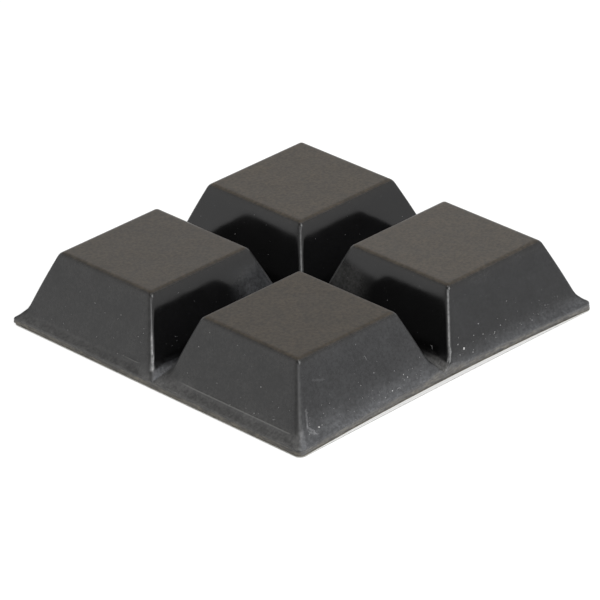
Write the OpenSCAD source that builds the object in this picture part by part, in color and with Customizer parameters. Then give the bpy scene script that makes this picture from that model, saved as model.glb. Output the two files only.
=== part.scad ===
// Block of soft black self-adhesive feet, moulded on one thin web and backed by adhesive
// and a paper release liner. It lies on its liner, with the treads up.
// The origin is the middle of the liner's underside, X and Y run along the rows, +Z is up.

/* [Block] */
// Distance from one foot's centre to the next
pitch = 20.6; // [18:0.1:30]
// Feet along each side of the block
feet_per_side = 2; // [1:1:4]
// Corner radius of the cut block
corner_r = 0.7; // [0.2:0.1:3]
// How far the rubber's front cut edge has drawn in at its middle
cut_bow = 0.65; // [0.1:0.05:0.9]
// How far the liner's front cut edge has drawn in at its middle
liner_bow = 0.15; // [0.05:0.05:0.5]

/* [Foot] */
// Height from the rubber's underside to the tread
rubber_h = 7.8; // [5:0.1:9.5]
// Side of the square tread, measured to the sharp corners
tread_side = 13.4; // [8:0.1:16.5]
// Draft of the four sides, in degrees from upright
draft_deg = 22; // [10:0.1:30]
// Radius of the four upright edges at the tread
edge_r = 0.4; // [0.3:0.05:1.5]
// Growth of the upright edge radius, per millimetre that the side moves out
edge_growth = 0.06; // [0:0.01:0.2]
// Radius between tread and sides
tread_round = 0.8; // [0.1:0.05:1.2]
// Share of the upright edge radius that is left where the round meets the tread
corner_left = 0.25; // [0.1:0.05:1]
// Radius of the hollow fillet between sides and web
foot_fillet = 1.0; // [0.3:0.1:1.2]

/* [Web] */
// Thickness of the web under and around the feet
web_t = 0.75; // [0.5:0.05:1.5]
// Width of the V-shaped score lines that part the feet
score_w = 0.3; // [0.1:0.05:0.5]

/* [Backing] */
// Thickness of the adhesive layer
adhesive_t = 0.1; // [0.05:0.01:0.5]
// Thickness of the paper release liner
liner_t = 0.1; // [0.05:0.01:0.3]

/* [Hidden] */

block_side = feet_per_side * pitch;
rubber_z = liner_t + adhesive_t;
web_top = rubber_z + web_t;
tread_z = rubber_z + rubber_h;
past = 1; // how far a cutting body runs past what it cuts
bury = web_t / 2; // how deep a foot is sunk into the web, so that the two fuse

// The side's line, as half the width of the foot at height z
function half_width(z) = tread_side / 2 + (tread_z - z) * tan(draft_deg);

// Both rounds touch the side and a level plane: this is how far out of or into the side's
// line each one's centre lies, for a radius of 1
centre_shift = (1 - sin(draft_deg)) / cos(draft_deg);
fillet_out = half_width(web_top) + foot_fillet * centre_shift;
tread_in = tread_side / 2 - tread_round * centre_shift;

FILLET_STEPS = 6;
ROUND_STEPS = 7;
CORNER_STEPS = 5;

// Radius of an upright edge where the side is w wide
function side_r(w) = edge_r + edge_growth * (w - tread_side / 2);

// Each ring of a foot is [half width, height, corner radius]
function fillet_ring(a, foot_w) =
    let (w = fillet_out + foot_fillet * cos(a), z = web_top + foot_fillet * (1 + sin(a)))
    [w, z, side_r(foot_w) + w - foot_w];
function round_ring(a, side_w) =
    let (
        w = tread_in + tread_round * cos(a),
        z = tread_z - tread_round * (1 - sin(a)),
        share = 1 - (1 - corner_left) * (a - draft_deg) / (90 - draft_deg)
    )
    [w, z, side_r(side_w) * share];

foot_w = fillet_out - foot_fillet * cos(draft_deg);
side_w = tread_in + tread_round * cos(draft_deg);
flange_ring = fillet_ring(270, foot_w);
rings = concat(
    [[flange_ring[0], web_top - bury, flange_ring[2]]],
    [for (i = [0 : FILLET_STEPS]) fillet_ring(270 - i * (90 - draft_deg) / FILLET_STEPS, foot_w)],
    [for (i = [0 : ROUND_STEPS]) round_ring(draft_deg + i * (90 - draft_deg) / ROUND_STEPS, side_w)]
);

// Points of one ring, anticlockwise from above: a square with round corners
function ring_points(ring) =
    [for (quarter = [0 : 3]) for (i = [0 : CORNER_STEPS])
        let (
            a = quarter * 90 + i * 90 / CORNER_STEPS,
            c = ring[0] - ring[2],
            sx = quarter == 0 || quarter == 3 ? 1 : -1,
            sy = quarter < 2 ? 1 : -1
        )
        [sx * c + ring[2] * cos(a), sy * c + ring[2] * sin(a), ring[1]]];

module foot() {
    n = 4 * (CORNER_STEPS + 1);
    last = len(rings) - 1;
    points = [for (ring = rings) each ring_points(ring)];
    sides = [for (k = [0 : last - 1]) for (j = [0 : n - 1])
        let (a = k * n + j, b = k * n + (j + 1) % n)
        each [[a, a + n, b + n], [a, b + n, b]]];
    polyhedron(
        points = points,
        faces = concat([[for (j = [0 : n - 1]) j]], sides, [[for (j = [n - 1 : -1 : 0]) last * n + j]])
    );
}

// Outline of the cut block
module block_outline() {
    c = block_side / 2 - corner_r;
    square([block_side, 2 * c], center = true);
    square([2 * c, block_side], center = true);
    for (sx = [-1, 1]) for (sy = [-1, 1])
        translate([sx * c, sy * c]) circle(r = corner_r, $fn = 48);
}

// What a front cut edge has drawn away from: a very large disc that meets the straight
// edge at both round corners and reaches in by the bow at the middle
module bow_cut(bow, z, h) {
    half_chord = block_side / 2 - corner_r;
    disc_r = (half_chord * half_chord + bow * bow) / (2 * bow);
    translate([0, bow - block_side / 2 - disc_r, z - past])
        cylinder(h = h + 2 * past, r = disc_r, $fn = 2000);
}

// V-shaped score lines along both directions, midway between the feet
module score_lines() {
    bar = score_w / sqrt(2);
    if (feet_per_side > 1)
        for (turn = [0, 90]) rotate(turn)
            for (i = [1 : feet_per_side - 1])
                translate([0, i * pitch - block_side / 2, web_top])
                    rotate([45, 0, 0]) cube([block_side + 2 * past, bar, bar], center = true);
}

// Web and feet before they are cut: the slab runs past the outline on every side
module web_and_feet() {
    slab = block_side + 2 * past;
    first = (pitch - block_side) / 2;
    translate([-slab / 2, -slab / 2, rubber_z]) cube([slab, slab, web_t]);
    for (i = [0 : feet_per_side - 1]) for (j = [0 : feet_per_side - 1])
        translate([first + i * pitch, first + j * pitch, 0]) foot();
}

module feet_moulding() {
    color([0.17, 0.165, 0.16])
        difference() {
            intersection() {
                web_and_feet();
                translate([0, 0, rubber_z - past])
                    linear_extrude(height = rubber_h + 2 * past) block_outline();
            }
            bow_cut(cut_bow, rubber_z, rubber_h);
            score_lines();
        }
}

module adhesive_layer() {
    color([0.35, 0.33, 0.27])
        difference() {
            translate([0, 0, liner_t]) linear_extrude(height = adhesive_t) block_outline();
            bow_cut(cut_bow, liner_t, adhesive_t);
        }
}

module release_liner() {
    color([0.95, 0.95, 0.93])
        difference() {
            linear_extrude(height = liner_t) block_outline();
            bow_cut(liner_bow, 0, liner_t);
        }
}

feet_moulding();
adhesive_layer();
release_liner();
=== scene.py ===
"""Looks of a block of four soft black feet on one thin web, with adhesive and a release liner.

The moulding is one closed surface. Each foot is lofted ring by ring from the middle of its
tread, over the tread's round, down the drafted sides and out over the hollow fillet to the
border of its square cell. The four cells meet at the score lines, and the wall that the
knife left closes the block. Dust and lint lie on it as small solid crumbs and hairs.
"""

import math

import bmesh
import bpy
import numpy as np
from mathutils import Matrix, Vector


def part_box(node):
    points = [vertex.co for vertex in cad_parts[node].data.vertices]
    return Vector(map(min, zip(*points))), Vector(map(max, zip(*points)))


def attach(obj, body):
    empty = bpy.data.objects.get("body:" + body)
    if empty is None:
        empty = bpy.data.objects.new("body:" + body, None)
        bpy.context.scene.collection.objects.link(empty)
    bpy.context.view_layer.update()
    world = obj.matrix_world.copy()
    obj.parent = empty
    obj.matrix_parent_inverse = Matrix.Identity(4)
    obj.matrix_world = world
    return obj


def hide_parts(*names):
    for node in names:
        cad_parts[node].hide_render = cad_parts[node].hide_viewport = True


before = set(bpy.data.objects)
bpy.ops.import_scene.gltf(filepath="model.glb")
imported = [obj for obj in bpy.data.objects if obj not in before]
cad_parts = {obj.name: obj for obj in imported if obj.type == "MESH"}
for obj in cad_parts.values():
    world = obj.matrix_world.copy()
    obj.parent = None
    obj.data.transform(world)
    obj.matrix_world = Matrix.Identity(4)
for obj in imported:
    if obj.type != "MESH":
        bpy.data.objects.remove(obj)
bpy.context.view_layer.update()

MM = 0.001

# Driving sizes of the moulding. The frame gives the block, and the rest are the part's own.
BLOCK_LO, BLOCK_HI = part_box("feet_moulding")
HALF_BLOCK = BLOCK_HI.x
PITCH = HALF_BLOCK
HALF_CELL = PITCH / 2
UNDERSIDE = BLOCK_LO.z
TREAD_Z = BLOCK_HI.z
WEB_TOP = UNDERSIDE + 0.75 * MM
HALF_TREAD = 6.7 * MM
DRAFT = math.radians(22)
EDGE_R = 0.4 * MM
EDGE_GROWTH = 0.06
TREAD_ROUND = 0.8 * MM
TREAD_CORNER = 0.25
TREAD_FADE = 0.32 * MM
TREAD_TAIL = 1.6 * MM
FILLET_R = 1.0 * MM
CROWN = 0.06 * MM
CORNER_R = 0.7 * MM
SHARP_CORNER_R = 0.25 * MM
CUT_BOW = 0.65 * MM
SCORE_HALF = 0.15 * MM

# What the knife and wear have done to it
ROLL_WIDTH = 0.6 * MM
ROLL_DEPTH = 0.22 * MM
LIP = 0.03 * MM
WANDER = 0.015 * MM
WORN_GROWTH = 0.16

# Flares that run out from each foot's upright edges to the corners of its cell: height at an
# inner and an outer corner, slope inwards, slope to both sides, and width of the rounded crest
FLARE_START = (0.85 * MM, 0.45 * MM)
FLARE_SLOPE = 0.76
FLARE_REACH = 3.0 * MM
FLARE_SIDES = 1.6
FLARE_CREST = 0.6 * MM
FLARE_BLEND = 0.3 * MM

# How finely the surface is divided
STRAIGHT_STEPS = 52
CORNER_STEPS = 16
POINTS_ROUND = 4 * (STRAIGHT_STEPS + CORNER_STEPS)

# Points of a mesh that lie closer than this are welded into one
WELD = 0.0008 * MM

# Points of the cells' borders that lie this near to the block's outline are on the knife's path,
# and no two neighbours on it lie closer than the least step
ON_PATH = 0.0001 * MM
LEAST_STEP = 0.001 * MM

SEED = 11

# Each foot by the signs of its place along X and Y
FEET = [(-1, -1), (-1, 1), (1, -1), (1, 1)]
FRONT_FOOT, LEFT_FOOT, RIGHT_FOOT, BACK_FOOT = (-1, -1), (-1, 1), (1, -1), (1, 1)

# How brown and how dull each tread is, and how strongly white is painted down its foot's front upright edge,
# a painted highlight together with pale wear: all the way down, over the lower half, and at the foot
TREAD_TONE = {FRONT_FOOT: 0.84, LEFT_FOOT: 0.8, RIGHT_FOOT: 0.93, BACK_FOOT: 0.94}
TREAD_DULL = {FRONT_FOOT: 0.25, LEFT_FOOT: 0.12, RIGHT_FOOT: 0.0, BACK_FOOT: 0.1}
EDGE_HIGHLIGHT_AND_WEAR = {
    FRONT_FOOT: (0.08, 0.03, 0.25),
    LEFT_FOOT: (0.1, 1.05, 2.2),
    RIGHT_FOOT: (0.66, 0.0, 1.5),
    BACK_FOOT: (0.3, 0.0, 0.5),
}

# ---------------------------------------------------------------- sizes that follow

FILLET_TOP_Z = WEB_TOP + FILLET_R * (1 - math.sin(DRAFT))
SIDE_H = TREAD_Z - FILLET_TOP_Z


def half_width(z):
    """Half width of a foot at height z: the tread's plus the drop times tan draft, plus a slight
    crown of the side, which is a parabola from the tread to the head of the fillet."""
    drop = np.clip((TREAD_Z - z) / SIDE_H, 0, 1)
    return HALF_TREAD + (TREAD_Z - z) * math.tan(DRAFT) + 4 * CROWN * drop * (1 - drop)


def edge_radius(width, growth=EDGE_GROWTH):
    """Radius of an upright edge: it grows evenly as the side moves out from the tread."""
    return EDGE_R + growth * (width - HALF_TREAD)


# How far out of the side's line the centre of a round lies, for a radius of 1, where the round
# touches both the drafted side and a level plane
CENTRE_SHIFT = (1 - math.sin(DRAFT)) / math.cos(DRAFT)
FILLET_OUT = half_width(WEB_TOP) + FILLET_R * CENTRE_SHIFT
FILLET_TOP_W = FILLET_OUT - FILLET_R * math.cos(DRAFT)
ROUND_END = math.atan(math.tan(DRAFT) + 3.7 * CROWN / SIDE_H)


# ---------------------------------------------------------------- the moulding's surface

STRAIGHT = np.linspace(-1, 1, STRAIGHT_STEPS, endpoint=False)
TURN = np.linspace(0, 1, CORNER_STEPS, endpoint=False)
TREAD_SCALE = np.array([0.0, 0.12, 0.3, 0.5, 0.68, 0.82, 0.92, 0.97])
ROUND_RINGS = 13
SIDE_RINGS = 15

# Rings from the fillet's head out to the cell's border, as shares of the way: close together at
# the head, where the bead is, then wider apart, and close again over the rolled rim
WEB_SHARE = np.concatenate([
    [0.003, 0.01, 0.022],
    0.82 * (1 - np.cos(np.linspace(0, math.pi / 2, 17)[3:])),
    1 - np.linspace(0.15, 0, 8),
])[:, None]


def foot_rings(growth):
    """Rings of a foot from its middle to the fillet, as half width, corner radius and height. The
    tread is scaled copies of its border, the round is an arc from level to the side's slope, over
    which the corner radius shrinks evenly, and the side follows its crown."""
    turn = np.linspace(math.pi / 2, ROUND_END, ROUND_RINGS)
    round_z = TREAD_Z - TREAD_ROUND * (1 - np.sin(turn))
    round_w = half_width(round_z[-1]) + TREAD_ROUND * (np.cos(turn) - math.cos(ROUND_END))
    inward = (round_w[-1] - round_w) / (round_w[-1] - round_w[0])
    round_r = edge_radius(round_w[-1], growth) * (1 - (1 - TREAD_CORNER) * inward)
    side_z = round_z[-1] + (FILLET_TOP_Z - round_z[-1]) * np.linspace(0, 1, SIDE_RINGS)[1:]
    side_w = half_width(side_z)
    return (
        np.concatenate([TREAD_SCALE * round_w[0], round_w, side_w]),
        np.concatenate([TREAD_SCALE * round_r[0], round_r, edge_radius(side_w, growth)]),
        np.concatenate([np.full(len(TREAD_SCALE), TREAD_Z), round_z, side_z]),
    )


def four_sides(x, y):
    """A run of points and its copies turned by one, two and three quarters, joined end to end."""
    return np.concatenate([x, -y, -x, y], axis=-1), np.concatenate([y, x, -y, -x], axis=-1)


def square_ring(width, radius):
    """Square with round corners: along a side x is the half width and y runs between the corner
    centres, and then a quarter circle turns about the corner centre."""
    width, radius = np.asarray(width)[..., None], np.asarray(radius)[..., None]
    core = width - radius
    angle = TURN * math.pi / 2
    x = np.concatenate([width + 0 * STRAIGHT, core + radius * np.cos(angle)], axis=-1)
    y = np.concatenate([core * STRAIGHT, core + radius * np.sin(angle)], axis=-1)
    return four_sides(x, y)


# How far from the middle of a cell's side the straight run of its border's points ends. It is the
# same for all four cells, so that their points meet.
BORDER_CORE = FILLET_TOP_W - edge_radius(FILLET_TOP_W)


def cell_side(radius):
    """One side of a cell's border and the corner after it, point for point with a side of a ring.
    In the corner the points run on by equal lengths, along a quarter circle of that radius and
    the straights before and after it."""
    arc = radius * math.pi / 2
    lead = HALF_CELL - radius - BORDER_CORE
    run = TURN * (2 * lead + arc)
    angle = np.clip((run - lead) / max(radius, 1e-9), 0, math.pi / 2)
    corner_x = HALF_CELL - radius * (1 - np.cos(angle)) - np.maximum(run - lead - arc, 0)
    corner_y = BORDER_CORE + np.minimum(run, lead) + radius * np.sin(angle)
    return (
        np.concatenate([np.full(STRAIGHT_STEPS, HALF_CELL), corner_x]),
        np.concatenate([BORDER_CORE * STRAIGHT, corner_y]),
    )


def cell_border(foot):
    """Border of a foot's cell in the block's frame, and which of its points are on the knife's
    path. Only the corner that is a corner of the block is round."""
    parts = []
    for quarter, corner in enumerate([(1, 1), (-1, 1), (-1, -1), (1, -1)]):
        x, y = cell_side(block_corner_radius(*foot) if corner == foot else 0.0)
        for _ in range(quarter):
            x, y = -y, x
        parts.append((x, y))
    x = np.concatenate([p[0] for p in parts]) + foot[0] * HALF_CELL
    y = np.concatenate([p[1] for p in parts]) + foot[1] * HALF_CELL
    return (*along_the_cut(x, y), outline(x, y)[0] < ON_PATH)


def block_corner_radius(x, y):
    """Radius of the block's corner on that side of both axes: the left one is nearly sharp."""
    return np.where((np.asarray(x) < 0) & (np.asarray(y) > 0), SHARP_CORNER_R, CORNER_R)


def bow(x):
    """How far the front cut edge has drawn in at x: a parabola between the two round corners."""
    return CUT_BOW * np.maximum(0, 1 - (x / (HALF_BLOCK - CORNER_R)) ** 2)


def knife_wander(x, y):
    """How far inside the outline the cut's upper edge runs: the lip below it and a small wander,
    which is a sum of three sine waves along the edge."""
    run = (x + 1.7 * y) / MM
    wave = np.sin(run * 0.9) + 0.6 * np.sin(run * 2.3 + 1.0) + 0.4 * np.sin(run * 4.1 + 2.0)
    return LIP + WANDER * (1 + wave / 2)


def outline(x, y):
    """Depth inside the plain square with round corners, and the direction that leads out of it."""
    radius = block_corner_radius(x, y)
    over_x, over_y = np.abs(x) - HALF_BLOCK + radius, np.abs(y) - HALF_BLOCK + radius
    out_x, out_y = np.maximum(over_x, 0), np.maximum(over_y, 0)
    reach = np.hypot(out_x, out_y)
    depth = radius - reach - np.minimum(np.maximum(over_x, over_y), 0)
    safe = np.maximum(reach, 1e-9)
    return depth, np.sign(x) * out_x / safe, np.sign(y) * out_y / safe


def along_the_cut(x, y):
    """Moves points of the plain outline to where the knife cut: in by its wander, and at the
    front in by the bow. The move dies out over the width of the corner inside the outline."""
    depth, out_x, out_y = outline(x, y)
    near = np.clip(1 - depth / CORNER_R, 0, 1)
    wander = knife_wander(x, y) * near
    front = np.clip((-y - HALF_BLOCK + CORNER_R) / CORNER_R, 0, 1)
    return x - out_x * wander, y - out_y * wander + bow(x) * front


def inside_depth(x, y):
    """Distance in from the cut's upper edge, with the front's bow and the wander taken off."""
    depth, _, _ = outline(x, np.where(y < 0, y - bow(x), y))
    return depth - knife_wander(x, y)


def web_height(width, x, y):
    """Height of fillet and web where the foot's rings are that wide: the fillet's arc, then level,
    less the V of a score line."""
    reach = np.clip(FILLET_OUT - width, 0, FILLET_R)
    z = WEB_TOP + FILLET_R - np.sqrt(FILLET_R**2 - reach**2)
    z = z - np.maximum(0, SCORE_HALF - np.minimum(np.abs(x), np.abs(y)))
    return z


def rolled_rim(x, y):
    """How far the knife rolled the rim over: a quarter ellipse, larger at the left corner."""
    from_left = np.hypot(x + HALF_BLOCK, y - HALF_BLOCK) / (1.3 * MM)
    more = 1 + 0.6 * np.exp(-(from_left**2))
    into = np.clip(1 - inside_depth(x, y) / (ROLL_WIDTH * more), 0, 1)
    return ROLL_DEPTH * more * (1 - np.sqrt(1 - into**2))


def by_the_diagonal(cell_x, cell_y):
    """Distance from the cell's nearest corner along the diagonal, and distance off the diagonal."""
    to_x, to_y = HALF_CELL - np.abs(cell_x), HALF_CELL - np.abs(cell_y)
    return (to_x + to_y) / math.sqrt(2), np.abs(to_x - to_y) / math.sqrt(2)


def with_flares(foot, cell_x, cell_y, z):
    """Height with the flares: along each diagonal of the cell a crest rises from the corner and
    falls off to both sides, and it joins the rest by a smooth maximum."""
    along, off = by_the_diagonal(cell_x, cell_y)
    outer = (foot[0] * cell_x > 0) & (foot[1] * cell_y > 0)
    start = np.where(outer, FLARE_START[1], FLARE_START[0])
    fall = FLARE_SIDES * off**2 / (off + FLARE_CREST)
    crest = start + FLARE_SLOPE * np.minimum(along, FLARE_REACH) - fall
    share = np.clip(0.5 + 0.5 * (crest - z) / FLARE_BLEND, 0, 1)
    return z + share * (crest - z) + FLARE_BLEND * share * (1 - share)


def mould_step(foot, cell_x, cell_y):
    """Thin bead on the left-hand sides at the head of the fillet, where the mould was split: long
    on the front foot and short on the foot behind it, with soft ends."""
    if foot[0] > 0:
        return np.zeros_like(cell_x)
    start, end, size = (-8.2, 7.4, 0.07) if foot == FRONT_FOOT else (-7.7, -4.6, 0.04)
    at = cell_y / MM
    window = np.clip((at - start) / 0.5, 0, 1) * np.clip((end - at) / 2.0, 0, 1)
    return size * MM * window * (cell_x < -0.9 * HALF_TREAD)


def smooth_step(value):
    """0 below 0, 1 above 1, and the cubic 3t² - 2t³ between."""
    t = np.clip(value, 0, 1)
    return t * t * (3 - 2 * t)


def dust_and_painted_light(foot, cell_x, cell_y, x, y, z):
    """How thick the dust film lies, and how cool its tone is. The film is partly dust and partly painted
    light: most on the fillets and the web, where it also lifts the fillets' shade; more on the front sides
    than on the left ones, where it also stands for the stronger light and the cool reflection of the sky that
    fall on the front; and in a valley only near its mouths, where it also stands for the light that reaches
    in. The inner ends of two valley sides are paler, and a painted highlight spreads out at the foot of the
    front edge."""
    rise = (z - WEB_TOP) / MM
    front = smooth_step((np.abs(cell_y) - np.abs(cell_x)) / (0.8 * MM) + 0.5)
    opened = np.where(front > 0.5, foot[1] * cell_y > 0, foot[0] * cell_x > 0)
    mouth = np.exp(-((np.minimum(HALF_BLOCK - np.abs(x), HALF_BLOCK - np.abs(y)) / (3.0 * MM)) ** 2))
    nearest = foot == FRONT_FOOT
    # Front sides: partly dust, partly painted light, lighter towards the bottom
    reach, rest, more = (3.0, 0.18, 0.56) if nearest else (1.8, 0.1, 0.43)
    long_ramp = rest + more * np.clip(1 - rise / reach, 0, 1) ** 2.2
    # Left-hand sides: partly dust, partly painted light that lifts the shade of the fillet, more on the front
    # foot
    reach, more = (1.1, 0.4) if nearest else (0.6, 0.28)
    short_ramp = 0.14 + more * np.clip(1 - rise / reach, 0, 1)
    crest = np.exp(-((by_the_diagonal(cell_x, cell_y)[1] / (0.3 * MM)) ** 2))
    # Valley mouths: partly dust, partly painted light where light reaches into the valley
    mouth_dust_and_light = mouth * (1 - 0.6 * crest) * smooth_step((0.72 - rise) / 0.25)
    valley = 0.012 + 0.1 * smooth_step(1 - rise / 0.4) + (1.5 if foot == RIGHT_FOOT else 1.35) * mouth_dust_and_light
    dust = np.where(opened, front * long_ramp + (1 - front) * short_ramp, valley)
    high = 0.36 * smooth_step((rise - 0.9) / 1.8) * smooth_step((6.3 - rise) / 2.5)
    if foot == LEFT_FOOT:
        dust = dust + high * front * (cell_y < 0) * smooth_step((cell_x / MM - 2.2) / 3.5)
    if foot == RIGHT_FOOT:
        dust = dust + high * (1 - front) * (cell_x < 0) * smooth_step((cell_y / MM - 2.2) / 3.5)
    # Painted highlight spreading out from the foot of the front foot's front upright edge
    if foot == FRONT_FOOT:
        off_edge = (cell_x - cell_y) / MM
        painted_highlight_fan = np.exp(-((off_edge / (0.25 + 0.3 * np.clip(1.2 - rise, 0, 1.2))) ** 2))
        dust = dust + 0.4 * painted_highlight_fan * smooth_step(1 - rise / 1.9) * (cell_x < 0) * (cell_y < 0)
    dust = dust * smooth_step((TREAD_Z - z) / (0.5 * MM))
    return dust, front


def wear_and_highlight_masks(foot, cell_x, cell_y, z):
    """Masks for a foot's tread with the tail of its tone over the round, for the white on its upright edges,
    which is painted highlight together with pale wear, with a painted glint at the tread's corner, and for
    what is blunt: the edges, the tread and the creases below the edges."""
    ring = np.arange(len(z))[:, None]
    tread_end = len(TREAD_SCALE) + ROUND_RINGS
    level = 1 - smooth_step((TREAD_Z - z) / TREAD_FADE)
    brown = 0.84 * level + 0.16 * (1 - smooth_step((TREAD_Z - z) / TREAD_TAIL))
    below = np.clip((ring - tread_end + 4) / 3.0, 0, 1)
    below[-len(WEB_SHARE):] *= (1 - WEB_SHARE) ** 2
    rise = (z - WEB_TOP) / MM

    across = np.concatenate([0 * STRAIGHT, np.sin(TURN * math.pi)])
    crest = np.sin(TURN * math.pi) ** 9
    if foot == FRONT_FOOT:
        crest = np.exp(-(((TURN - 0.6) / 0.24) ** 2))
    crest = np.concatenate([0 * STRAIGHT, crest])
    shade = np.concatenate([0.4 * np.exp((STRAIGHT - 1) / 0.06), np.exp(-(((TURN - 0.2) / 0.26) ** 2))])
    if foot == FRONT_FOOT:
        shade = shade + 0.8 * crest
    none = 0 * across

    blunt = below * np.concatenate([0.6 * across, across, np.minimum(0.5 * shade, 1), across])
    crease = np.exp(-((by_the_diagonal(cell_x, cell_y)[1] / (0.35 * MM)) ** 2))
    crease = crease * smooth_step((0.7 - rise) / 0.2)
    blunt = np.maximum(np.maximum(blunt, TREAD_DULL[foot] * level), 0.9 * crease)

    # Painted highlight together with pale wear: white streaks down the middle of the upright edges, where the
    # softboxes' highlight lies
    white = np.concatenate([0.1 * across**9, none, crest, none])
    all_down, lower, at_foot = EDGE_HIGHLIGHT_AND_WEAR[foot]
    streak = all_down + lower * smooth_step((4.2 - rise) / 1.5) + at_foot * smooth_step((1.1 - rise) / 0.4)
    # Painted highlight: a small glint on the tread's round above each edge whose white is strongest
    spark = np.exp(-(((ring - tread_end + 6) / 1.6) ** 2)) * (white > 0.9)
    faded = smooth_step((rise - (0.2 if foot == FRONT_FOOT else 0.45)) / 0.25)
    white = white * below * streak * faded + 0.35 * spark
    return {"tread": TREAD_TONE[foot] * brown, "white": white, "blunt": blunt}


def cell_surface(foot):
    """One foot with its part of the web, as grids by ring and round the ring: the places, and the masks for
    wear and painted highlight, for dust and painted light and its tone, for the mould's bead, whose pale line
    is a painted highlight, and for the cut."""
    growth = WORN_GROWTH if foot == FRONT_FOOT else EDGE_GROWTH
    width, radius, height = foot_rings(growth)
    core = FILLET_TOP_W - edge_radius(FILLET_TOP_W, growth)
    ring_x, ring_y = square_ring(width, radius)
    ring_z = np.repeat(height[:, None], POINTS_ROUND, axis=1)

    border_x, border_y, _ = cell_border(foot)
    border_x, border_y = border_x - foot[0] * HALF_CELL, border_y - foot[1] * HALF_CELL
    web_x = (1 - WEB_SHARE) * ring_x[-1] + WEB_SHARE * border_x
    web_y = (1 - WEB_SHARE) * ring_y[-1] + WEB_SHARE * border_y
    out = np.hypot(np.maximum(np.abs(web_x) - core, 0), np.maximum(np.abs(web_y) - core, 0))
    web_z = web_height(core + out, web_x + foot[0] * HALF_CELL, web_y + foot[1] * HALF_CELL)
    step = mould_step(foot, web_x, web_y) * np.clip(1 - WEB_SHARE / 0.08, 0, 1)
    web_x = web_x - step

    cell_x, cell_y = np.concatenate([ring_x, web_x]), np.concatenate([ring_y, web_y])
    x, y = cell_x + foot[0] * HALF_CELL, cell_y + foot[1] * HALF_CELL
    z = with_flares(foot, cell_x, cell_y, np.concatenate([ring_z, web_z]))
    z = z - rolled_rim(x, y)

    dust, cool = dust_and_painted_light(foot, cell_x, cell_y, x, y, z)
    bead = np.zeros_like(x)
    bead[len(ring_x):] = np.minimum(step / (0.04 * MM), 1)
    masks = wear_and_highlight_masks(foot, cell_x, cell_y, z)
    masks.update({"dust": dust, "cool": cool, "bead": bead, "cut": 0 * x})
    return x, y, z, masks


def grid_faces(rings, around, start):
    """Quads between neighbouring rings of points, closed round each ring. They face out where the
    rings run anticlockwise as seen from the first one's side."""
    ring, step = np.meshgrid(np.arange(rings - 1), np.arange(around), indexing="ij")
    a = start + ring * around + step
    b = start + ring * around + (step + 1) % around
    return np.stack([a, a + around, b + around, b], axis=-1).reshape(-1, 4)


def cut_wall(border):
    """The knife's wall, hung from the border all round the block. It goes down level by level to
    the underside, and its lower half stands out by the lip, with a fine ripple."""
    fall = np.array([0.0, 0.06, 0.14, 0.3, 0.42, 0.48, 0.53, 0.58, 0.66, 0.8, 0.94, 1.0])[:, None]
    out = np.array([0.0, 0.1, 0.0, 0.15, 0.1, 0.35, 0.85, 1.0, 0.9, 0.95, 0.9, 0.7])[:, None]
    along = np.roll(border, -1, axis=0)[:, :2] - np.roll(border, 1, axis=0)[:, :2]
    along = along / np.linalg.norm(along, axis=1, keepdims=True)
    run = np.cumsum(np.linalg.norm(border[:, :2] - np.roll(border[:, :2], 1, axis=0), axis=1))
    ripple = 0.5 + 0.5 * np.sin(run / (0.37 * MM) + 3 * fall) * np.sin(run / (1.1 * MM))
    push = LIP * out * (1 - 0.35 * ripple * (fall > 0) * (fall < 1))
    x = border[None, :, 0] + push * along[None, :, 1]
    y = border[None, :, 1] - push * along[None, :, 0]
    z = border[None, :, 2] * (1 - fall) + UNDERSIDE * fall
    front = smooth_step((np.abs(y) - np.abs(x)) / (0.8 * MM) + 0.5) * (y < 0)
    zero = 0 * x
    # The film on the wall is partly dust and partly painted light: thicker and cooler on the front, which is
    # lit more strongly
    return x, y, z, {
        "tread": zero, "white": zero, "blunt": zero, "bead": zero, "cool": front,
        "dust": 0.12 + 0.45 * front, "cut": smooth_step(fall / 0.5) + zero,
    }


def block_border(cells):
    """The cells' last points that lie on the knife's path, once each, in order round the block."""
    last = np.concatenate([np.stack([x[-1], y[-1], z[-1]], axis=-1) for x, y, z, _ in cells])
    border = last[np.concatenate([cell_border(foot)[2] for foot in FEET])]
    border = border[np.argsort(np.arctan2(border[:, 1], border[:, 0]))]
    gap = np.linalg.norm(border - np.roll(border, 1, axis=0), axis=1)
    return border[gap > LEAST_STEP]


def mesh_piece(name, points, faces, layers, material):
    """A mesh object from points, faces and one float layer per mask, welded and smooth."""
    mesh = bpy.data.meshes.new(name)
    mesh.from_pydata(points, [], faces)
    for layer_name, values in layers.items():
        layer = mesh.attributes.new(layer_name, "FLOAT", "POINT")
        layer.data.foreach_set("value", values.astype(np.float32))
    work = bmesh.new()
    work.from_mesh(mesh)
    bmesh.ops.remove_doubles(work, verts=work.verts, dist=WELD)
    work.to_mesh(mesh)
    work.free()
    mesh.polygons.foreach_set("use_smooth", np.ones(len(mesh.polygons), dtype=bool))
    mesh.materials.append(material)
    piece = bpy.data.objects.new(name, mesh)
    bpy.context.scene.collection.objects.link(piece)
    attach(piece, "root")
    return piece


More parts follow.
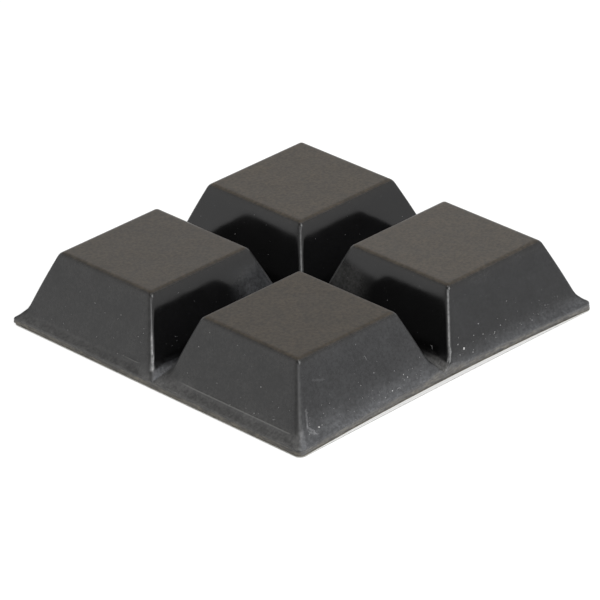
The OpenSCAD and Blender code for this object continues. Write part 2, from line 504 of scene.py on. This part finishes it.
def build_moulding(material):
    """Joins the four cells, the knife's wall and the underside into one closed mesh."""
    cells = [cell_surface(foot) for foot in FEET]
    wall = cut_wall(block_border(cells))
    points, faces, start = [], [], 0
    layers = {name: [] for name in wall[3]}
    for x, y, z, masks in [*cells, wall]:
        points.append(np.stack([x, y, z], axis=-1).reshape(-1, 3))
        faces.append(grid_faces(x.shape[0], x.shape[1], start))
        for name in layers:
            layers[name].append(masks[name].ravel())
        start += x.size
    points.append(np.array([[0.0, 0.0, UNDERSIDE]]))
    for name in layers:
        layers[name].append(np.array([1.0 if name == "cut" else 0.0]))
    around = wall[0].shape[1]
    step = np.arange(around)
    rim = start - around
    under = np.stack([np.full(around, start), rim + (step + 1) % around, rim + step], axis=-1)
    quads = np.concatenate(faces).tolist()
    joined = {name: np.concatenate(values) for name, values in layers.items()}
    piece = mesh_piece("moulded_feet", np.concatenate(points), quads + under.tolist(), joined, material)
    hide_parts("feet_moulding")
    return piece


# ---------------------------------------------------------------- dust and lint

def face_point(foot, side, across, height):
    """A point on a foot's drafted side, height in mm above the web and across in mm from the
    middle, with the directions across, up the side, and out of it. Side is "front" or "left"."""
    z = WEB_TOP + height * MM
    out = half_width(z)
    centre = Vector((foot[0] * HALF_CELL, foot[1] * HALF_CELL, 0))
    slope = (math.sin(DRAFT), math.cos(DRAFT))
    if side == "front":
        place = centre + Vector((across * MM, -out, z))
        return place, Vector((1, 0, 0)), Vector((0, slope[0], slope[1])), Vector((0, -slope[1], slope[0]))
    place = centre + Vector((-out, across * MM, z))
    return place, Vector((0, -1, 0)), Vector((slope[0], 0, slope[1])), Vector((-slope[1], 0, slope[0]))


# Crumbs that stand out, by foot and side: across and height in mm, and size as a half width in mm
CRUMBS = {
    (FRONT_FOOT, "front"): [
        (1.7, 2.9, 0.07), (4.2, 2.2, 0.08), (5.2, 1.5, 0.07), (5.6, 1.1, 0.09), (5.1, 1.0, 0.06),
        (-0.3, 2.4, 0.06), (0.6, 6.0, 0.07), (3.3, 0.6, 0.07), (2.2, 0.3, 0.1), (-2.0, 0.5, 0.06),
        (-6.7, 0.7, 0.12), (-8.1, 0.5, 0.07), (-8.6, 0.2, 0.06),
    ],
    (RIGHT_FOOT, "front"): [
        (-7.1, 1.1, 0.16), (-7.85, 0.7, 0.13), (-8.1, 1.0, 0.08), (-7.7, 1.7, 0.08), (-8.5, 0.4, 0.08),
        (-4.2, 1.5, 0.07), (-4.4, 2.6, 0.08), (-5.4, 1.8, 0.06), (-6.1, 0.4, 0.07), (-1.7, 1.5, 0.07),
    ],
    (FRONT_FOOT, "left"): [(-3.0, 3.4, 0.05), (2.6, 2.0, 0.05), (6.0, 4.4, 0.05), (-5.5, 1.1, 0.06)],
}

# Lint hairs: foot, side, across and height of both ends in mm
HAIRS = [
    (FRONT_FOOT, "front", (1.1, 4.7), (1.3, 4.2)),
    (FRONT_FOOT, "front", (3.9, 0.5), (4.4, 0.4)),
    (RIGHT_FOOT, "front", (-2.6, 1.2), (-2.9, 0.9)),
    (RIGHT_FOOT, "left", (-6.8, 1.0), (-6.4, 1.3)),
]

# Dust scattered by chance: foot, side, how many, and the height in mm that it mostly stays under
SCATTER = [
    (FRONT_FOOT, "front", 54, 2.2),
    (RIGHT_FOOT, "front", 36, 2.2),
    (FRONT_FOOT, "left", 26, 5.0),
    (LEFT_FOOT, "left", 20, 5.0),
    (BACK_FOOT, "front", 9, 6.0),
    (BACK_FOOT, "left", 9, 6.0),
    (LEFT_FOOT, "front", 9, 6.0),
    (RIGHT_FOOT, "left", 9, 6.0),
]


def crumb_shape(chance):
    """Unit crumb: a ball of 6 by 4 points whose radius is varied by chance, with both poles."""
    turn = np.arange(6) * math.pi / 3
    tilt = np.array([-0.6, 0.0, 0.6])
    ring = np.stack([
        np.outer(np.cos(tilt), np.cos(turn)),
        np.outer(np.cos(tilt), np.sin(turn)),
        np.outer(np.sin(tilt), np.ones(6)),
    ], axis=-1).reshape(-1, 3)
    ball = np.concatenate([ring, [[0, 0, -1], [0, 0, 1]]])
    return ball * chance.uniform(0.7, 1.15, (len(ball), 1))


def crumb_faces():
    """Quads between the crumb's three rings, and triangles to its two poles, facing out."""
    step = np.arange(6)
    turn_on = (step + 1) % 6
    lower = [[18, b, a] for a, b in zip(step, turn_on)]
    upper = [[12 + a, 12 + b, 19] for a, b in zip(step, turn_on)]
    return grid_faces(3, 6, 0)[:, [0, 3, 2, 1]], np.array(lower + upper)


def crumb_places(chance):
    """All crumbs as place, across, up, out and half width: the chosen ones, then the scatter."""
    places = []
    for (foot, side), crumbs in CRUMBS.items():
        for across, height, size in crumbs:
            places.append((*face_point(foot, side, across, height), size * MM))
    for foot, side, count, top in SCATTER:
        reach = half_width(WEB_TOP) / MM - 0.8
        across = chance.uniform(-1, 1, count)
        height = np.minimum(0.5 + chance.exponential(top / 2.2, count), 6.0)
        size = chance.uniform(0.018, 0.042, count)
        for a, h, s in zip(across, height, size):
            inside = reach - h * math.tan(DRAFT)
            places.append((*face_point(foot, side, a * inside, h), s * MM))
    for foot in FEET:
        for _ in range(16):
            spot = chance.uniform(-0.92, 0.92, 2) * HALF_TREAD
            centre = Vector((foot[0] * HALF_CELL + spot[0], foot[1] * HALF_CELL + spot[1], TREAD_Z))
            size = chance.uniform(0.015, 0.03)
            places.append((centre, Vector((1, 0, 0)), Vector((0, 1, 0)), Vector((0, 0, 1)), size * MM))
    return places


def build_crumbs(material):
    """Every crumb in one mesh. Each is the unit ball, flattened, turned by chance in its face's
    plane and sunk to its middle. On a tread a crumb is sunk until it lies level with it."""
    chance = np.random.default_rng(SEED)
    walls, caps = crumb_faces()
    points, quads, triangles = [], [], []
    for k, (place, across, up, out, size) in enumerate(crumb_places(chance)):
        ball = crumb_shape(chance) * (1.0, chance.uniform(0.55, 1.0), 0.5)
        angle = chance.uniform(0, math.pi)
        turned = np.stack([
            ball[:, 0] * math.cos(angle) - ball[:, 1] * math.sin(angle),
            ball[:, 0] * math.sin(angle) + ball[:, 1] * math.cos(angle),
            ball[:, 2] - (0.5 if out.z > 0.9 else 0.0),
        ], axis=-1)
        axes = np.array([across, up, out])
        points.append(np.array(place) + size * turned @ axes)
        quads.append(walls + len(ball) * k)
        triangles.append(caps + len(ball) * k)
    cloud = np.concatenate(points)
    cloud[:, 2] = np.minimum(cloud[:, 2], TREAD_Z)
    every = np.concatenate(quads).tolist() + np.concatenate(triangles).tolist()
    return mesh_piece("dust_crumbs", cloud, every, {}, material)


def build_hairs(material):
    """Lint hairs: a five-sided tube along a bent line between two points of a side. The bend is
    one arch of a sine in the side's plane, and the tube narrows to its ends."""
    points, faces = [], []
    around, along = 5, 9
    for foot, side, start, end in HAIRS:
        a, across, up, out = face_point(foot, side, *start)
        b = face_point(foot, side, *end)[0]
        t = np.linspace(0, 1, along)[:, None]
        bend = 0.25 * (b - a).length * np.sin(t * math.pi)
        line = np.array(a) * (1 - t) + np.array(b) * t + bend * np.array(up + 0.4 * across)
        radius = 0.016 * MM * np.sin(0.15 + t * (math.pi - 0.3)) ** 0.5
        angle = np.arange(around) * 2 * math.pi / around
        across_tube = np.array((b - a).normalized().cross(out))
        spoke = np.cos(angle)[:, None] * across_tube + np.sin(angle)[:, None] * np.array(out)
        tube = line[:, None, :] + radius[:, :, None] * spoke[None] + 0.01 * MM * np.array(out)
        base = sum(len(p) for p in points)
        points.append(tube.reshape(-1, 3))
        faces += grid_faces(along, around, base).tolist()
        faces += [[base + i for i in range(around)]]
        faces += [[base + (along - 1) * around + i for i in reversed(range(around))]]
    return mesh_piece("lint_hairs", np.concatenate(points), faces, {}, material)


# ---------------------------------------------------------------- node helpers and groups

def add_node(tree, kind, settings=None, **inputs):
    """Adds a node, sets its properties, and fills inputs with numbers, colours or links. An
    input's name is written with _ for a space, and i0, i1 and so on name it by its place."""
    made = tree.nodes.new(kind)
    for name, value in (settings or {}).items():
        setattr(made, name, value)
    for name, value in inputs.items():
        place = int(name[1:]) if name[0] == "i" and name[1:].isdigit() else name.replace("_", " ")
        socket = made.inputs[place]
        if isinstance(value, bpy.types.NodeSocket):
            tree.links.new(value, socket)
        else:
            socket.default_value = value
    return made


def math_node(tree, operation, a, b, clamp=False):
    """One sum on two values."""
    settings = {"operation": operation, "use_clamp": clamp}
    return add_node(tree, "ShaderNodeMath", settings, i0=a, i1=b).outputs[0]


def blend_colour(tree, share, a, b, mode="MIX"):
    """Colour a turned towards colour b by the share."""
    made = add_node(tree, "ShaderNodeMix", {"data_type": "RGBA", "blend_type": mode}, i0=share, i6=a, i7=b)
    return made.outputs[2]


def spread(tree, value, low, high, to_low=0.0, to_high=1.0):
    """Value stretched from one range to another, held at its ends."""
    made = add_node(
        tree, "ShaderNodeMapRange", {"interpolation_type": "SMOOTHSTEP"},
        Value=value, From_Min=low, From_Max=high, To_Min=to_low, To_Max=to_high,
    )
    return made.outputs["Result"]


def mask(tree, name):
    """One of the moulding's own float layers."""
    return add_node(tree, "ShaderNodeAttribute", {"attribute_name": name}).outputs["Fac"]


def new_group(name, inputs, outputs):
    """Empty node group with float or vector inputs and float outputs."""
    group = bpy.data.node_groups.new(name, "ShaderNodeTree")
    for label, kind, default in inputs:
        socket = group.interface.new_socket(label, in_out="INPUT", socket_type=kind)
        if kind == "NodeSocketFloat":
            socket.default_value = default
    for label in outputs:
        group.interface.new_socket(label, in_out="OUTPUT", socket_type="NodeSocketFloat")
    return group, group.nodes.new("NodeGroupInput"), group.nodes.new("NodeGroupOutput")


def use_group(tree, group, **inputs):
    """Places a group in a material."""
    return add_node(tree, "ShaderNodeGroup", {"node_tree": group}, **inputs)


def add_noise(tree, place, scale, detail, roughness=0.5):
    """Noise between 0 and 1, with that many lumps per metre."""
    return add_node(
        tree, "ShaderNodeTexNoise", Vector=place, Scale=scale, Detail=detail, Roughness=roughness,
    ).outputs[0]


def grain_group():
    """Surface grain: Fine is a noise of the given size in mm, Broad is one eight times as large,
    and Height joins them for a bump."""
    sockets = [("Place", "NodeSocketVector", None), ("Size", "NodeSocketFloat", 0.15)]
    group, given, result = new_group("surface_grain", sockets, ["Fine", "Broad", "Height"])
    per_metre = math_node(group, "DIVIDE", 1 / MM, given.outputs["Size"])
    fine = add_noise(group, given.outputs["Place"], per_metre, 3.0, 0.6)
    wide = math_node(group, "DIVIDE", per_metre, 8.0)
    broad = add_noise(group, given.outputs["Place"], wide, 2.0)
    height = math_node(group, "ADD", fine, math_node(group, "MULTIPLY", broad, 2.0))
    group.links.new(fine, result.inputs["Fine"])
    group.links.new(broad, result.inputs["Broad"])
    group.links.new(height, result.inputs["Height"])
    return group


def dust_group():
    """Dust film: Film is a cloudy cover from the given amount, and Motes are the small bright
    points in it, kept where a cell noise's distance is short and a cloud lets them be."""
    sockets = [
        ("Place", "NodeSocketVector", None),
        ("Amount", "NodeSocketFloat", 0.5),
        ("Mote Size", "NodeSocketFloat", 0.3),
    ]
    group, given, result = new_group("dust_film", sockets, ["Film", "Motes"])
    cloud = add_noise(group, given.outputs["Place"], 0.45 / MM, 5.0, 0.62)
    speck = add_noise(group, given.outputs["Place"], 3.0 / MM, 3.0, 0.7)
    cloudy = spread(group, cloud, 0.25, 0.75, 0.75, 1.25)
    specked = spread(group, speck, 0.3, 0.7, 0.65, 1.35)
    cover = math_node(group, "MULTIPLY", cloudy, specked)
    film = math_node(group, "MULTIPLY", given.outputs["Amount"], cover)
    cells = add_node(
        group, "ShaderNodeTexVoronoi", Vector=given.outputs["Place"],
        Scale=math_node(group, "DIVIDE", 1 / MM, given.outputs["Mote Size"]),
    )
    near = spread(group, cells.outputs["Distance"], 0.1, 0.2, 1.0, 0.0)
    chosen = spread(group, cells.outputs["Color"], 0.72, 0.9)
    motes = math_node(group, "MULTIPLY", near, chosen)
    group.links.new(film, result.inputs["Film"])
    group.links.new(motes, result.inputs["Motes"])
    return group


def stroke_group():
    """A rubbed mark between two places: 1 on the line and 0 beyond its width, by the distance to
    the nearest point of the line, broken up by a fine noise."""
    sockets = [
        ("Place", "NodeSocketVector", None),
        ("Start", "NodeSocketVector", None),
        ("End", "NodeSocketVector", None),
        ("Width", "NodeSocketFloat", 0.1 * MM),
    ]
    group, given, result = new_group("rubbed_mark", sockets, ["Mark"])

    def vector(operation, a, b, out="Vector"):
        return add_node(group, "ShaderNodeVectorMath", {"operation": operation}, i0=a, i1=b).outputs[out]

    place, start, end = (given.outputs[name] for name in ("Place", "Start", "End"))
    line = vector("SUBTRACT", end, start)
    offset = vector("SUBTRACT", place, start)
    along = vector("DOT_PRODUCT", offset, line, "Value")
    whole = vector("DOT_PRODUCT", line, line, "Value")
    share = math_node(group, "DIVIDE", along, whole, True)
    scaled = add_node(group, "ShaderNodeVectorMath", {"operation": "SCALE"}, Vector=line, Scale=share)
    away = vector("LENGTH", vector("SUBTRACT", offset, scaled.outputs["Vector"]), (0, 0, 0), "Value")
    uneven = spread(group, add_noise(group, place, 5 / MM, 3.0), 0.3, 0.7, 0.3, 1.7)
    away = math_node(group, "DIVIDE", away, math_node(group, "MULTIPLY", given.outputs["Width"], uneven))
    group.links.new(spread(group, away, 0.3, 1.0, 1.0, 0.0), result.inputs["Mark"])
    return group


GRAIN = grain_group()
DUST = dust_group()
STROKE = stroke_group()


def new_material(name, ior, specular=0.5):
    """Material with one Principled shader, and its object coordinates."""
    material = bpy.data.materials.new(name)
    material.use_nodes = True
    tree = material.node_tree
    shader = tree.nodes["Principled BSDF"]
    shader.inputs["IOR"].default_value = ior
    shader.inputs["Specular IOR Level"].default_value = specular
    place = add_node(tree, "ShaderNodeTexCoord").outputs["Object"]
    return material, tree, shader, place


def add_bump(tree, shader, height, distance):
    """Bump of the given depth in metres for a height from 0 to 1."""
    bump = add_node(tree, "ShaderNodeBump", Height=height, Distance=distance, Strength=1.0)
    tree.links.new(bump.outputs["Normal"], shader.inputs["Normal"])


# Rubbed marks on the front foot: both ends as (side, across, height) in mm, the width in mm, and
# how strongly each shows
MARKS = [
    (("front", -7.65, 2.65), ("front", -8.03, 1.2), 0.15, 0.09),
    (("front", -8.03, 1.2), ("front", -7.3, 0.38), 0.17, 0.12),
    (("front", -5.7, 4.8), ("front", -4.4, 4.4), 0.16, 0.035),
    (("front", -7.9, 0.6), ("front", -7.2, 0.25), 0.2, 0.1),
]


def rubber_material():
    """Black rubber: glossy sides, a matt tread that is brown on its flat and greyer over its round, the
    knife's dull olive cut, white on the upright edges that is painted highlight together with pale wear, a
    film of dust with motes in it that is partly painted light, paler and cooler on the front sides, and a
    pale line along the mould's bead that is a painted highlight."""
    material, tree, shader, place = new_material("rubber", 1.55)
    grain = use_group(tree, GRAIN, Place=place, Size=0.3)
    tread, cut, blunt = mask(tree, "tread"), mask(tree, "cut"), mask(tree, "blunt")

    flat = spread(tree, tread, 0.45, 0.8)
    brown = blend_colour(tree, flat, (0.034, 0.0305, 0.0265, 1), (0.048, 0.037, 0.0245, 1))
    base = blend_colour(tree, tread, (0.002, 0.002, 0.0022, 1), brown)
    drawn = add_node(
        tree, "ShaderNodeVectorMath", {"operation": "MULTIPLY"}, i0=place, i1=(0.2, 0.2, 1.0),
    ).outputs[0]
    layers = add_noise(tree, drawn, 5 / MM, 2.0)
    sliced = blend_colour(
        tree, spread(tree, layers, 0.35, 0.65), (0.016, 0.0135, 0.01, 1), (0.085, 0.075, 0.057, 1),
    )
    base = blend_colour(tree, cut, base, sliced)
    lively = spread(tree, grain.outputs["Fine"], 0.25, 0.75, 0.55, 1.45)
    patchy = spread(tree, grain.outputs["Broad"], 0.3, 0.7, 0.9, 1.1)
    vary = math_node(tree, "MULTIPLY", lively, patchy)
    grey = add_node(tree, "ShaderNodeCombineColor", i0=vary, i1=vary, i2=vary).outputs[0]
    base = blend_colour(tree, 1.0, base, grey, "MULTIPLY")

    # The dust layer is partly dust and partly painted light: lifted fillet shade, the stronger light on the
    # front sides and at the valley mouths, and a painted highlight at the foot of the front edge
    dust_and_light_here = mask(tree, "dust")
    dust = use_group(tree, DUST, Place=place, Amount=dust_and_light_here, Mote_Size=0.32)
    film = math_node(tree, "MULTIPLY", dust.outputs["Film"], 0.17, True)
    # Cooler tone on the front sides: partly painted reflection of the sky
    tone = blend_colour(tree, mask(tree, "cool"), (0.64, 0.63, 0.61, 1), (0.61, 0.625, 0.66, 1))
    base = blend_colour(tree, film, base, tone)
    crowd = spread(tree, dust_and_light_here, 0.0, 1.0, 0.04, 0.28)
    motes = math_node(tree, "MULTIPLY", dust.outputs["Motes"], crowd)
    base = blend_colour(tree, motes, base, (0.62, 0.62, 0.62, 1))

    # Painted highlight together with pale wear: white on the upright edges
    edge_highlight_and_wear = math_node(tree, "MULTIPLY", mask(tree, "white"), 0.32)
    edge_highlight_and_wear = math_node(tree, "MULTIPLY", edge_highlight_and_wear, spread(tree, grain.outputs["Fine"], 0.35, 0.65, 0.6, 1.3), True)
    base = blend_colour(tree, edge_highlight_and_wear, base, (0.62, 0.62, 0.62, 1))
    # Painted highlight: a faint pale line along the mould's bead, for the light its small edge catches
    bead = math_node(tree, "MULTIPLY", mask(tree, "bead"), 0.1)
    base = blend_colour(tree, bead, base, (0.62, 0.61, 0.57, 1))
    for start, end, width, strength in MARKS:
        a = face_point(FRONT_FOOT, *start)[0]
        b = face_point(FRONT_FOOT, *end)[0]
        mark = use_group(tree, STROKE, Place=place, Start=a, End=b, Width=width * MM).outputs["Mark"]
        base = blend_colour(tree, math_node(tree, "MULTIPLY", mark, strength), base, (0.7, 0.7, 0.72, 1))
    tree.links.new(base, shader.inputs["Base Color"])

    rough = 0.12
    for layer, more in ((tread, 0.3), (cut, 0.33), (blunt, 0.35), (film, 0.9)):
        rough = math_node(tree, "ADD", rough, math_node(tree, "MULTIPLY", layer, more))
    rough = math_node(tree, "ADD", rough, spread(tree, grain.outputs["Broad"], 0.3, 0.7, -0.015, 0.015), True)
    tree.links.new(rough, shader.inputs["Roughness"])
    dulled = math_node(tree, "SUBTRACT", 0.5, math_node(tree, "MULTIPLY", blunt, 0.35))
    tree.links.new(dulled, shader.inputs["Specular IOR Level"])
    deep = math_node(tree, "MULTIPLY", grain.outputs["Height"], math_node(tree, "ADD", 0.2, tread))
    sway = add_noise(tree, place, 0.3 / MM, 1.0)
    deep = math_node(tree, "ADD", deep, math_node(tree, "MULTIPLY", sway, 5.0))
    add_bump(tree, shader, deep, 0.006 * MM)
    return material


def dust_material():
    """Pale grey dust: each crumb a little lighter or darker than its neighbour."""
    material, tree, shader, place = new_material("dust", 1.45, 0.2)
    grain = use_group(tree, GRAIN, Place=place, Size=0.3)
    tone = spread(tree, grain.outputs["Broad"], 0.3, 0.7)
    colour = blend_colour(tree, tone, (0.24, 0.24, 0.25, 1), (0.62, 0.61, 0.6, 1))
    tree.links.new(colour, shader.inputs["Base Color"])
    shader.inputs["Roughness"].default_value = 0.9
    add_bump(tree, shader, grain.outputs["Fine"], 0.01 * MM)
    return material


def adhesive_material():
    """Adhesive film squeezed under the rubber: dark olive, tacky, with dirt caught along it."""
    material, tree, shader, place = new_material("adhesive", 1.47)
    grain = use_group(tree, GRAIN, Place=place, Size=0.25)
    dust = use_group(tree, DUST, Place=place, Amount=0.6, Mote_Size=0.4)
    tone = spread(tree, grain.outputs["Broad"], 0.3, 0.7)
    colour = blend_colour(tree, tone, (0.04, 0.035, 0.022, 1), (0.08, 0.072, 0.05, 1))
    share = math_node(tree, "MULTIPLY", dust.outputs["Film"], 0.15)
    colour = blend_colour(tree, share, colour, (0.5, 0.48, 0.42, 1))
    tree.links.new(colour, shader.inputs["Base Color"])
    rough = spread(tree, grain.outputs["Fine"], 0.3, 0.7, 0.35, 0.6)
    tree.links.new(rough, shader.inputs["Roughness"])
    add_bump(tree, shader, grain.outputs["Height"], 0.01 * MM)
    return material


def liner_material():
    """Release liner: smooth coated paper, white above, with soft fibres in the bare paper below and a cut
    edge painted dark grey: a little greyer paper, the rest painted shade of the thin shadow line along the
    liner's foot."""
    material, tree, shader, place = new_material("liner_paper", 1.5)
    liner_lo, liner_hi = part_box("release_liner")
    grain = use_group(tree, GRAIN, Place=place, Size=0.2)
    fibre = use_group(tree, GRAIN, Place=place, Size=0.5).outputs["Fine"]
    height = add_node(tree, "ShaderNodeSeparateXYZ", i0=place).outputs[2]
    coated = spread(tree, height, liner_hi.z - 0.03 * MM, liner_hi.z - 0.01 * MM)
    bare = spread(tree, height, liner_lo.z + 0.01 * MM, liner_lo.z + 0.03 * MM, 1.0, 0.0)
    tone = spread(tree, fibre, 0.3, 0.7)
    # Painted shade: the cut edge is far darker than the paper, standing for the thin shadow line along the
    # liner's foot
    colour = blend_colour(tree, tone, (0.24, 0.235, 0.225, 1), (0.33, 0.325, 0.31, 1))
    colour = blend_colour(tree, coated, colour, (0.97, 0.97, 0.965, 1))
    paper = blend_colour(tree, tone, (0.78, 0.77, 0.74, 1), (0.85, 0.84, 0.81, 1))
    colour = blend_colour(tree, bare, colour, paper)
    dust = use_group(tree, DUST, Place=place, Amount=0.3, Mote_Size=0.5)
    share = math_node(tree, "MULTIPLY", dust.outputs["Film"], 0.04)
    colour = blend_colour(tree, share, colour, (0.6, 0.58, 0.54, 1))
    tree.links.new(colour, shader.inputs["Base Color"])
    rough = spread(tree, grain.outputs["Fine"], 0.2, 0.8, 0.6, 0.75)
    rough = math_node(tree, "SUBTRACT", rough, math_node(tree, "MULTIPLY", coated, 0.3))
    tree.links.new(rough, shader.inputs["Roughness"])
    add_bump(tree, shader, math_node(tree, "ADD", fibre, grain.outputs["Height"]), 0.002 * MM)
    return material


def dress(node, material):
    """Gives a CAD node its material, in every slot that it has."""
    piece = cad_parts[node]
    if not piece.material_slots:
        piece.data.materials.append(material)
    for held in piece.material_slots:
        held.material = material


# ---------------------------------------------------------------- stage, light and camera

AIM = Vector((-0.55, -0.33, 2.2)) * MM
VIEW_AZIMUTH = math.radians(-43.63)
VIEW_ELEVATION = math.radians(27.64)
VIEW_ROLL = math.radians(2.09)
VIEW_DISTANCE = 499.3 * MM
LENS = 299.3
LAMP_DISTANCE = 0.8
FLOOR_RADIUS = 3.0
FLOOR_HOLE = 20.35 * MM
FLOOR_GAP = 0.02 * MM
FLOOR_STEPS = 96

# Softboxes: azimuth and height in degrees, size in metres, and how much brighter than the
# surroundings each one looks
SOFTBOXES = {
    "front_softbox": (-43, 22, 0.36, 2.6),
    "left_softbox": (-130, 14, 0.9, 0.08),
    "high_softbox": (82, 52, 0.6, 0.08),
    "key_softbox": (8, 50, 0.5, 3.8),
    "top_softbox": (0, 86, 0.3, 1.5),
}


def direction(azimuth, elevation):
    """Unit vector towards a place seen at that azimuth and height: azimuth 0 is -Y and 90 is +X."""
    return Vector((
        math.sin(azimuth) * math.cos(elevation),
        -math.cos(azimuth) * math.cos(elevation),
        math.sin(elevation),
    ))


def add_camera():
    """Camera on the line from the aim point, turned about that line by the roll."""
    data = bpy.data.cameras.new("camera")
    data.lens = LENS
    data.sensor_width = 36
    data.clip_start, data.clip_end = 0.05, 20
    camera = bpy.data.objects.new("camera", data)
    bpy.context.scene.collection.objects.link(camera)
    back = direction(VIEW_AZIMUTH, VIEW_ELEVATION)
    right = Vector((math.cos(VIEW_AZIMUTH), math.sin(VIEW_AZIMUTH), 0))
    up = back.cross(right)
    c, s = math.cos(VIEW_ROLL), math.sin(VIEW_ROLL)
    turn = Matrix((c * right - s * up, s * right + c * up, back)).transposed()
    camera.matrix_world = Matrix.Translation(AIM + back * VIEW_DISTANCE) @ turn.to_4x4()
    bpy.context.scene.camera = camera


def add_softbox(name, azimuth, elevation, size, radiance):
    """Square lamp facing the block. Its power is the radiance times pi times its area."""
    data = bpy.data.lights.new(name, "AREA")
    data.shape = "SQUARE"
    data.size = size
    data.energy = radiance * math.pi * size * size
    lamp = bpy.data.objects.new(name, data)
    bpy.context.scene.collection.objects.link(lamp)
    away = direction(math.radians(azimuth), math.radians(elevation))
    lamp.location = away * LAMP_DISTANCE
    lamp.rotation_mode = "QUATERNION"
    lamp.rotation_quaternion = away.to_track_quat("Z", "Y")
    lamp.visible_camera = False


def add_world():
    """White surroundings at the horizon that fade towards the zenith."""
    world = bpy.data.worlds.new("studio")
    bpy.context.scene.world = world
    world.use_nodes = True
    tree = world.node_tree
    tree.nodes.clear()
    place = add_node(tree, "ShaderNodeTexCoord").outputs["Generated"]
    up = add_node(tree, "ShaderNodeSeparateXYZ", i0=place).outputs[2]
    glow = add_node(tree, "ShaderNodeBackground", Strength=spread(tree, up, 0.45, 1.0, 1.0, 0.2))
    out = tree.nodes.new("ShaderNodeOutputWorld")
    tree.links.new(glow.outputs[0], out.inputs["Surface"])


def add_floor():
    """Level sheet of white paper just under the block, with the block's own place cut out, so that
    light reaches the underside when it is looked at from below. To the camera, and in
    reflections, most of its tone is its own, so that only the block's soft shadow shows on it,
    and from below it lets everything through."""
    angle = np.linspace(0, 2 * math.pi, FLOOR_STEPS, endpoint=False)
    spoke = np.stack([np.cos(angle), np.sin(angle)], axis=-1)
    inner = FLOOR_HOLE / np.abs(spoke).max(axis=1, keepdims=True) * spoke
    rings = np.stack([inner, FLOOR_RADIUS * spoke]).reshape(-1, 2)
    points = np.column_stack([rings, np.full(len(rings), -FLOOR_GAP)])
    mesh = bpy.data.meshes.new("floor")
    mesh.from_pydata(points.tolist(), [], grid_faces(2, FLOOR_STEPS, 0).tolist())
    floor = bpy.data.objects.new("floor", mesh)
    bpy.context.scene.collection.objects.link(floor)
    paper = bpy.data.materials.new("floor_paper")
    paper.use_nodes = True
    tree = paper.node_tree
    tree.nodes.clear()
    path = add_node(tree, "ShaderNodeLightPath")
    seen = math_node(tree, "MAXIMUM", path.outputs["Is Camera Ray"], path.outputs["Is Glossy Ray"])
    seen = math_node(tree, "MAXIMUM", seen, path.outputs["Is Transmission Ray"])
    own = math_node(tree, "MULTIPLY", seen, 0.75)
    matt = add_node(tree, "ShaderNodeBsdfDiffuse", Color=(0.9, 0.9, 0.9, 1))
    glow = add_node(tree, "ShaderNodeEmission", Strength=1.15)
    top = add_node(tree, "ShaderNodeMixShader", i0=own, i1=matt.outputs[0], i2=glow.outputs[0])
    clear = tree.nodes.new("ShaderNodeBsdfTransparent")
    below = tree.nodes.new("ShaderNodeNewGeometry").outputs["Backfacing"]
    mix = add_node(tree, "ShaderNodeMixShader", i0=below, i1=top.outputs[0], i2=clear.outputs[0])
    out = tree.nodes.new("ShaderNodeOutputMaterial")
    tree.links.new(mix.outputs[0], out.inputs["Surface"])
    mesh.materials.append(paper)


dusty = dust_material()
build_moulding(rubber_material())
build_crumbs(dusty)
build_hairs(dusty)
dress("adhesive_layer", adhesive_material())
dress("release_liner", liner_material())
add_world()
add_floor()
for lamp_name, values in SOFTBOXES.items():
    add_softbox(lamp_name, *values)
add_camera()
bpy.context.scene.view_settings.view_transform = "Standard"
